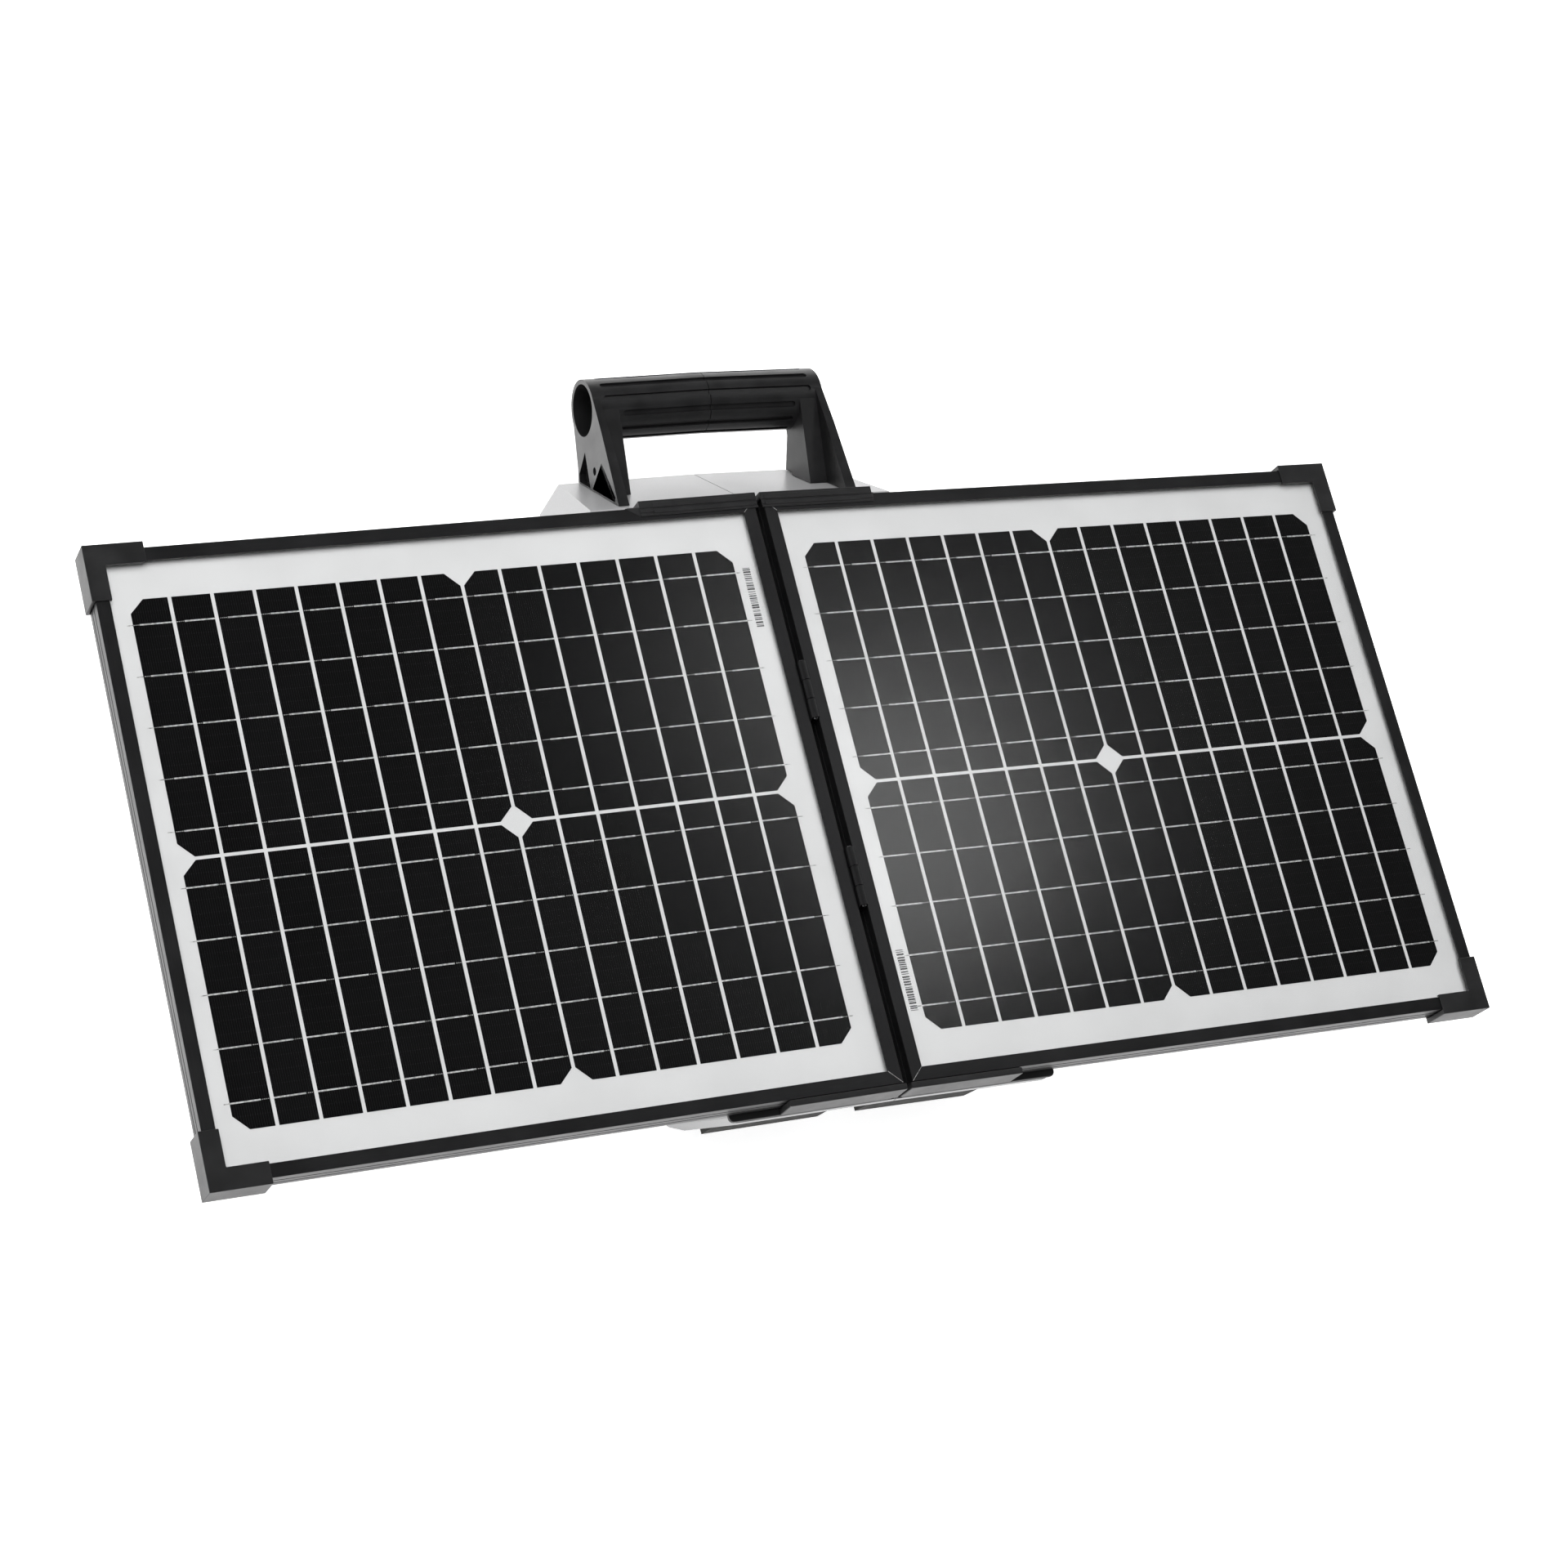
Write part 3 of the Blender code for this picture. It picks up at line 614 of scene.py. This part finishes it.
def circuit_green():
    """Green solder mask with lighter tracks."""
    finish = Finish("circuit_green", (0.02, 0.12, 0.05), 0.4)
    tracks = finish.axis("X").line(2.4 * MM, 0.5 * MM).larger(finish.axis("Y").line(7.2 * MM, 0.5 * MM))
    finish.set("Base Color", finish.blend(tracks, (0.02, 0.12, 0.05), (0.05, 0.22, 0.09)))
    finish.bump(tracks, 0.04 * MM, 0.6)
    return finish.material


FINISHES = {}


def finish_of(name):
    """A finish by name, mixed once."""
    shell = bpy.context.scene.solar_shell
    recipes = {
        "anodised_x": lambda: anodised_black("X"),
        "anodised_y": lambda: anodised_black("Y"),
        "cap_black": lambda: moulded_black("cap_black", shell.black, 0.45 * MM, 0.42),
        "handle_black": lambda: moulded_black("handle_black", shade(shell.black, 0.9), 0.35 * MM, 0.36),
        "plate_black": lambda: moulded_black("plate_black", shade(shell.black, 1.1), 0.6 * MM, 0.5),
        "housing_grey": housing_grey,
        "rubber_black": rubber_black,
        "plated_steel": plated_steel,
        "backsheet_white": backsheet_white,
        "cell_silicon_left": lambda: cell_silicon("left"),
        "cell_silicon_right": lambda: cell_silicon("right"),
        "tinned_ribbon": tinned_ribbon,
        "cut_metal": cut_metal,
        "dull_tin": dull_tin,
        "printed_ink": printed_ink,
        "panel_glass": panel_glass,
        "pack_wrap": pack_wrap,
        "circuit_green": circuit_green,
    }
    if name not in FINISHES:
        FINISHES[name] = recipes[name]()
    return FINISHES[name]


# Pieces


def body_of(side):
    return f"{side}_half"


def new_piece(name, bm, side, slot, finish):
    """Finished piece in a half's flat frame, placed in the row frame, riding on its half."""
    bm.transform(half_matrix(side))
    bmesh.ops.recalc_face_normals(bm, faces=bm.faces)
    mesh = bpy.data.meshes.new(name)
    bm.to_mesh(mesh)
    bm.free()
    piece = bpy.data.objects.new(name, mesh)
    bpy.context.scene.collection.objects.link(piece)
    mesh.materials.append(finish_of(finish))
    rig.ride(piece, body_of(side))
    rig.slot(piece, slot)


def dress(node, finish):
    """Give a CAD node a finish."""
    mesh = frame["nodes"][node].data
    mesh.materials.clear()
    mesh.materials.append(finish_of(finish))


def soften(node, width, finish, angle=32, segments=3):
    """Stand-in for a CAD node with the same faces, its edges rounded by a live bevel."""
    source = frame["nodes"][node]
    bm = bmesh.new()
    bm.from_mesh(source.data)
    bmesh.ops.remove_doubles(bm, verts=bm.verts, dist=WELD)
    bmesh.ops.dissolve_limit(bm, angle_limit=math.radians(FLAT_WITHIN), verts=bm.verts, edges=bm.edges)
    mesh = bpy.data.meshes.new(f"{node}_fine")
    bm.to_mesh(mesh)
    bm.free()
    piece = bpy.data.objects.new(f"{node}_fine", mesh)
    bpy.context.scene.collection.objects.link(piece)
    mesh.materials.append(finish_of(finish))
    mesh.shade_smooth()
    bevel = piece.modifiers.new("Rounded edges", "BEVEL")
    bevel.width = width
    bevel.segments = segments
    bevel.limit_method = "ANGLE"
    bevel.angle_limit = math.radians(angle)
    bevel.use_clamp_overlap = True
    bevel.miter_outer = "MITER_ARC"
    even = piece.modifiers.new("Even shading", "WEIGHTED_NORMAL")
    even.keep_sharp = True
    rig.ride(piece, source["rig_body"])
    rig.replaces(piece, node)
    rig.slot(piece, slot_of(node))


def slot_of(node):
    """The record's material slot of a CAD node."""
    return next(part["material_slot"] for part in frame["record"]["subparts"] if part["node"] == node)


def flat_box(bm, x, y, z):
    """Add a box between pairs of values."""
    corners = [bm.verts.new((i, j, k)) for k in z for j in y for i in x]
    for face in ((0, 1, 3, 2), (4, 6, 7, 5), (0, 4, 5, 1), (2, 3, 7, 6), (0, 2, 6, 4), (1, 5, 7, 3)):
        bm.faces.new([corners[i] for i in face])


def local_front(node, side):
    """Height of a flat node's front face in its half's frame."""
    inverse = half_matrix(side).inverted()
    return max((inverse @ vertex.co).z for vertex in frame["nodes"][node].data.vertices)


def row_shift(side):
    """The right module's cells sit a little higher."""
    return SHIFT_RIGHT if side == "right" else 0.0


def strip_outline(cells, strip, row):
    """Outline of a strip, with the wafer's chamfers where it's the first or last of its group."""
    start = cells.field_start + strip * cells.strip_pitch
    end = start + cells.strip_pitch - cells.strip_gap
    low, high = cells.row_gap / 2, cells.row_gap / 2 + cells.wafer
    cut = cells.chamfer
    near = strip in (0, cells.first_group)
    far = strip in (cells.first_group - 1, cells.strips - 1)
    points = [(start + cut, low), (start, low + cut)] if near else [(start, low)]
    points += [(start, high - cut), (start + cut, high)] if near else [(start, high)]
    points += [(end - cut, high), (end, high - cut)] if far else [(end, high)]
    points += [(end, low + cut), (end - cut, low)] if far else [(end, low)]
    return [(x, row * y) for x, y in points]


def make_cells(side):
    """Two rows of strips, just proud of the backsheet."""
    cells = bpy.context.scene.solar_cells
    front = local_front(f"cell_laminate_{side}", side)
    bm = bmesh.new()
    for row in (1.0, -1.0):
        for strip in range(cells.strips):
            outline = strip_outline(cells, strip, row)
            lower = [bm.verts.new((x, y + row_shift(side), front + CELL_BACK)) for x, y in outline]
            upper = [bm.verts.new((x, y + row_shift(side), front + CELL_FRONT)) for x, y in outline]
            bm.faces.new(upper)
            bm.faces.new(lower)
            for i in range(len(outline)):
                j = (i + 1) % len(outline)
                bm.faces.new((lower[i], lower[j], upper[j], upper[i]))
    new_piece(f"cell_strips_{side}", bm, side, "cell_sheet", f"cell_silicon_{side}")


def add_pads(bm, free, y, front):
    """Short silver pads along the part of a strip that its ribbon leaves free."""
    levels = (front + RIBBON_BACK, front + PAD_FRONT)
    x = free[0] + PAD_GAP
    while x + PAD < free[1]:
        flat_box(bm, (x, x + PAD), (y - PAD_HALF, y + PAD_HALF), levels)
        x += PAD + PAD_GAP


def make_ribbons(side):
    """Soldered ribbons, each from one strip's face across the gap, and stubs at the row ends."""
    cells = bpy.context.scene.solar_cells
    front = local_front(f"cell_laminate_{side}", side)
    width = cells.strip_pitch - cells.strip_gap
    end = cells.field_start + cells.strips * cells.strip_pitch - cells.strip_gap
    bm = bmesh.new()
    stubs = bmesh.new()
    spread = random.Random(SEEDS["ribbons"][side])
    for row in (1.0, -1.0):
        outward = (row > 0) == (side == "right")
        middle = row * (cells.row_gap + cells.wafer) / 2 + row_shift(side)
        for bar in range(-2, 3):
            y = middle + bar * cells.wafer / BARS + spread.uniform(*WANDER) * MM
            across = (y - cells.ribbon_width / 2, y + cells.ribbon_width / 2)
            for strip in range(cells.strips):
                start = cells.field_start + strip * cells.strip_pitch
                share = cells.ribbon_share + spread.uniform(*SHARE_SPREAD)
                span = (start, start + share * width)
                if outward:
                    span = (start + (1 - share) * width, start + width)
                flat_box(bm, span, across, (front + RIBBON_BACK, front + RIBBON_FRONT))
                free = (start, span[0]) if outward else (span[1], start + width)
                add_pads(bm, free, y, front)
            thin = (y - cells.ribbon_width / 3, y + cells.ribbon_width / 3)
            for edge, way in ((cells.field_start, -1), (end, 1)):
                reach = sorted((edge, edge + way * cells.stub * spread.uniform(*STUB_SPREAD)))
                flat_box(stubs, reach, thin, (front + STUB_BACK, front + STUB_FRONT))
    new_piece(f"cell_ribbons_{side}", bm, side, "steel", "tinned_ribbon")
    new_piece(f"ribbon_stubs_{side}", stubs, side, "steel", "dull_tin")


def rounded_bar(bm, x, y, z, edge):
    """Low bar with chamfered long edges, as an eight-sided prism along x."""
    profile = [(y[0] + edge, z[0]), (y[1] - edge, z[0]), (y[1], z[0] + edge), (y[1], z[1] - edge)]
    profile += [(y[1] - edge, z[1]), (y[0] + edge, z[1]), (y[0], z[1] - edge), (y[0], z[0] + edge)]
    ends = [[bm.verts.new((along, j, k)) for j, k in profile] for along in x]
    count = len(profile)
    for i in range(count):
        j = (i + 1) % count
        bm.faces.new((ends[0][i], ends[0][j], ends[1][j], ends[1][i]))
    bm.faces.new(ends[0])
    bm.faces.new(ends[1])


def make_clip_ribs(side):
    """Two low ribs along the front of the top clip, kept behind the plane where the halves meet."""
    front = local_front(f"edge_clip_top_{side}", side)
    bm = bmesh.new()
    for across, height in RIBS:
        rounded_bar(bm, RIB_ENDS, across, (front - RIB_SUNK, front + height), RIB_EDGE)
    new_piece(f"clip_ribs_{side}", bm, side, "moulded_black", "cap_black")


def make_mitre_gaps(side):
    """Thin lines of bare cut metal in the mitres of the lip beside the hinge."""
    front = local_front(f"frame_rail_hinge_{side}", side)
    low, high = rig.box(f"frame_rail_hinge_{side}")
    half_height = (high.y - low.y) / 2
    bm = bmesh.new()
    for way in (1.0, -1.0):
        corner = way * (half_height - MITRE_INSET)
        near = Vector((MITRE_START, corner))
        far = Vector((MITRE_START + MITRE_REACH, corner - way * MITRE_REACH))
        across = Vector((MITRE_HALF, way * MITRE_HALF))
        ring = [near - across, far - across, far + across, near + across]
        heights = (front - MITRE_SUNK, front + MITRE_PROUD)
        levels = [[bm.verts.new((p.x, p.y, z)) for p in ring] for z in heights]
        for i in range(4):
            j = (i + 1) % 4
            bm.faces.new((levels[0][i], levels[0][j], levels[1][j], levels[1][i]))
        bm.faces.new(levels[0])
        bm.faces.new(levels[1])
    new_piece(f"mitre_lines_{side}", bm, side, "anodised_black", "cut_metal")


def make_code_bars(side):
    """Plain bars printed on the backsheet beside the hinge rail, of no meaning."""
    front = local_front(f"cell_laminate_{side}", side)
    spread = random.Random(SEEDS["bars"][side])
    (start, end), x = CODE_BARS[side]
    bm = bmesh.new()
    y = start
    while y < end:
        thick = spread.choice((0.4, 0.5, 0.8, 1.1)) * MM
        flat_box(bm, x, (y, y + thick), (front + INK_BACK, front + INK_FRONT))
        y += thick + spread.choice((0.4, 0.5, 0.7, 1.0)) * MM
    new_piece(f"code_bars_{side}", bm, side, "cell_sheet", "printed_ink")


# Operators


class SOLAR_OT_frames(bpy.types.Operator):
    """Round and finish the extruded rails"""

    bl_idname = "solar.frames"
    bl_label = "Frames"

    def execute(self, context):
        edge = context.scene.solar_shell.metal_edge
        for side in SIDES:
            for rail, finish in (("top", "anodised_x"), ("bottom", "anodised_x"),
                                 ("hinge", "anodised_y"), ("outer", "anodised_y")):
                soften(f"frame_rail_{rail}_{side}", edge, finish, segments=2)
            make_mitre_gaps(side)
        return {"FINISHED"}


class SOLAR_OT_modules(bpy.types.Operator):
    """Lay the cells, ribbons, printed bars and glass of both modules"""

    bl_idname = "solar.modules"
    bl_label = "Modules"

    def execute(self, context):
        for side in SIDES:
            dress(f"cell_laminate_{side}", "backsheet_white")
            dress(f"cover_glass_{side}", "panel_glass")
            make_cells(side)
            make_ribbons(side)
            make_code_bars(side)
        return {"FINISHED"}


class SOLAR_OT_trim(bpy.types.Operator):
    """Round and finish the corner caps, edge clips and carrier plates"""

    bl_idname = "solar.trim"
    bl_label = "Caps and clips"

    def execute(self, context):
        shell = context.scene.solar_shell
        for side in SIDES:
            for end in ("top", "bottom"):
                soften(f"corner_cap_{end}_{side}", shell.cap_edge, "cap_black", segments=4)
                soften(f"edge_clip_{end}_{side}", shell.trim_edge, "cap_black", angle=25)
            soften(f"carrier_plate_{side}", shell.trim_edge, "plate_black")
            make_clip_ribs(side)
        return {"FINISHED"}


class SOLAR_OT_housing(bpy.types.Operator):
    """Round and finish the rear housing, its covers, screws, feet and socket"""

    bl_idname = "solar.housing"
    bl_label = "Housing"

    def execute(self, context):
        shell = context.scene.solar_shell
        for side in SIDES:
            soften(f"housing_shell_{side}", shell.shell_edge, "housing_grey", angle=20, segments=4)
            soften(f"rear_cover_{side}", COVER_EDGE, "housing_grey")
            for number in range(1, COVER_SCREWS + 1):
                dress(f"cover_screw_{number}_{side}", "plated_steel")
            for place in ("bottom", "rear_lower", "rear_upper"):
                soften(f"foot_{place}_{side}", shell.cap_edge, "rubber_black")
            for part in ("junction_box", "junction_lid"):
                soften(f"{part}_{side}", shell.trim_edge, "plate_black")
        soften("output_socket", SOCKET_EDGE, "cap_black")
        dress("battery_pack", "pack_wrap")
        dress("charge_controller", "circuit_green")
        return {"FINISHED"}


class SOLAR_OT_handle(bpy.types.Operator):
    """Round and finish both halves of the handle"""

    bl_idname = "solar.handle"
    bl_label = "Handle"

    def execute(self, context):
        for side in SIDES:
            soften(f"handle_half_{side}", HANDLE_EDGE, "handle_black", angle=30)
            dress(f"handle_screw_{side}", "plated_steel")
        return {"FINISHED"}


class SOLAR_OT_hinges(bpy.types.Operator):
    """Finish the hinge leaves and pins"""

    bl_idname = "solar.hinges"
    bl_label = "Hinges"

    def execute(self, context):
        for place in ("top", "bottom"):
            for side in SIDES:
                dress(f"hinge_{place}_leaf_{side}", "anodised_y")
            dress(f"hinge_{place}_pin", "plated_steel")
        return {"FINISHED"}


def studio_light(name, place, size, power, glossy, diffuse=True):
    """Square area light that faces the middle of the panel."""
    lamp = bpy.data.lights.new(name, "AREA")
    lamp.energy = power
    lamp.size = size
    holder = bpy.data.objects.new(name, lamp)
    holder.location = place
    aim = AIM - Vector(place)
    holder.rotation_euler = aim.to_track_quat("-Z", "Y").to_euler()
    holder.visible_glossy = glossy
    holder.visible_diffuse = diffuse
    bpy.context.scene.collection.objects.link(holder)


def studio_world():
    """Soft surround: pale at the horizon and dim overhead."""
    world = bpy.data.worlds.new("soft_surround")
    world.use_nodes = True
    tree = world.node_tree
    place = tree.nodes.new("ShaderNodeTexCoord")
    split = tree.nodes.new("ShaderNodeSeparateXYZ")
    ramp = tree.nodes.new("ShaderNodeValToRGB")
    ramp.color_ramp.interpolation = "EASE"
    for stop, (height, tone) in zip(ramp.color_ramp.elements, (HORIZON, ZENITH)):
        stop.position = height
        stop.color = (tone, tone, tone, 1.0)
    tree.links.new(place.outputs["Generated"], split.inputs[0])
    tree.links.new(split.outputs["Z"], ramp.inputs[0])
    tree.links.new(ramp.outputs[0], tree.nodes["Background"].inputs["Color"])
    bpy.context.scene.world = world


def studio_floor(settings):
    """Large pale floor sheet that glows a little."""
    bm = bmesh.new()
    bmesh.ops.create_grid(bm, x_segments=4, y_segments=4, size=FLOOR_SIZE)
    mesh = bpy.data.meshes.new("floor_sheet")
    bm.to_mesh(mesh)
    bm.free()
    sheet = bpy.data.objects.new("floor_sheet", mesh)
    sheet.location.z = -FLOOR_DROP
    bpy.context.scene.collection.objects.link(sheet)
    finish = Finish("floor_pale", settings.floor, 0.9, Specular_IOR_Level=0.1)
    finish.set("Emission Color", (1.0, 1.0, 1.0))
    finish.set("Emission Strength", settings.floor_glow)
    mesh.materials.append(finish.material)
    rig.stage(sheet)


def studio_camera(settings):
    """Camera above the glass, to the left of the hinge and towards the bottom edge."""
    lens = bpy.data.cameras.new("camera")
    lens.lens = settings.lens
    lens.sensor_width = SENSOR_WIDTH
    camera = bpy.data.objects.new("camera", lens)
    away = CAMERA_RIGHT.cross(CAMERA_UP)
    turn = Matrix((CAMERA_RIGHT, CAMERA_UP, away)).transposed().to_4x4()
    camera.matrix_world = Matrix.Translation(HINGE + CAMERA_PLACE) @ turn
    bpy.context.scene.collection.objects.link(camera)
    bpy.context.scene.camera = camera


class SOLAR_OT_stage(bpy.types.Operator):
    """Set up the floor, lights, surround and camera"""

    bl_idname = "solar.stage"
    bl_label = "Stage"

    def execute(self, context):
        settings = context.scene.solar_stage
        studio_floor(settings)
        studio_world()
        studio_light("key_light", KEY_PLACE, KEY_SIZE, settings.key, False)
        studio_light("sheen_light_right", SHEEN_RIGHT, SHEEN_SIZE, settings.sheen, True, False)
        studio_light("sheen_light_left", SHEEN_LEFT, SHEEN_SIZE, settings.second_sheen, True, False)
        studio_camera(settings)
        context.scene.view_settings.view_transform = "Standard"
        return {"FINISHED"}


class SOLAR_PT_builder(bpy.types.Panel):
    """Buttons and settings of the folding solar panel"""

    bl_idname = "SOLAR_PT_builder"
    bl_label = "Folding Solar Panel"
    bl_space_type = "VIEW_3D"
    bl_region_type = "UI"
    bl_category = "Solar Panel"

    def draw(self, context):
        for operator in OPERATORS:
            self.layout.operator(operator.bl_idname)
        for group in SETTINGS:
            settings = getattr(context.scene, group)
            for name in settings.bl_rna.properties.keys():
                if name not in ("rna_type", "name"):
                    self.layout.prop(settings, name)


SETTINGS = {
    "solar_cells": SolarCellSettings,
    "solar_shell": SolarShellSettings,
    "solar_stage": SolarStageSettings,
}
OPERATORS = (
    SOLAR_OT_frames,
    SOLAR_OT_modules,
    SOLAR_OT_trim,
    SOLAR_OT_housing,
    SOLAR_OT_handle,
    SOLAR_OT_hinges,
    SOLAR_OT_stage,
)


def register():
    for name, group in SETTINGS.items():
        bpy.utils.register_class(group)
        setattr(bpy.types.Scene, name, PointerProperty(type=group))
    for operator in OPERATORS:
        bpy.utils.register_class(operator)
    bpy.utils.register_class(SOLAR_PT_builder)


def unregister():
    bpy.utils.unregister_class(SOLAR_PT_builder)
    for operator in reversed(OPERATORS):
        bpy.utils.unregister_class(operator)
    for name, group in SETTINGS.items():
        delattr(bpy.types.Scene, name)
        bpy.utils.unregister_class(group)


def main():
    register()
    bpy.ops.solar.frames()
    bpy.ops.solar.modules()
    bpy.ops.solar.trim()
    bpy.ops.solar.housing()
    bpy.ops.solar.handle()
    bpy.ops.solar.hinges()
    bpy.ops.solar.stage()
    boxes = {"cad": [list(corner) for corner in CAD_BOX], "visual": [list(corner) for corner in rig.bounds()]}
    with open("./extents.json", "w") as out:
        json.dump(boxes, out)


if __name__ == "__main__":
    main()
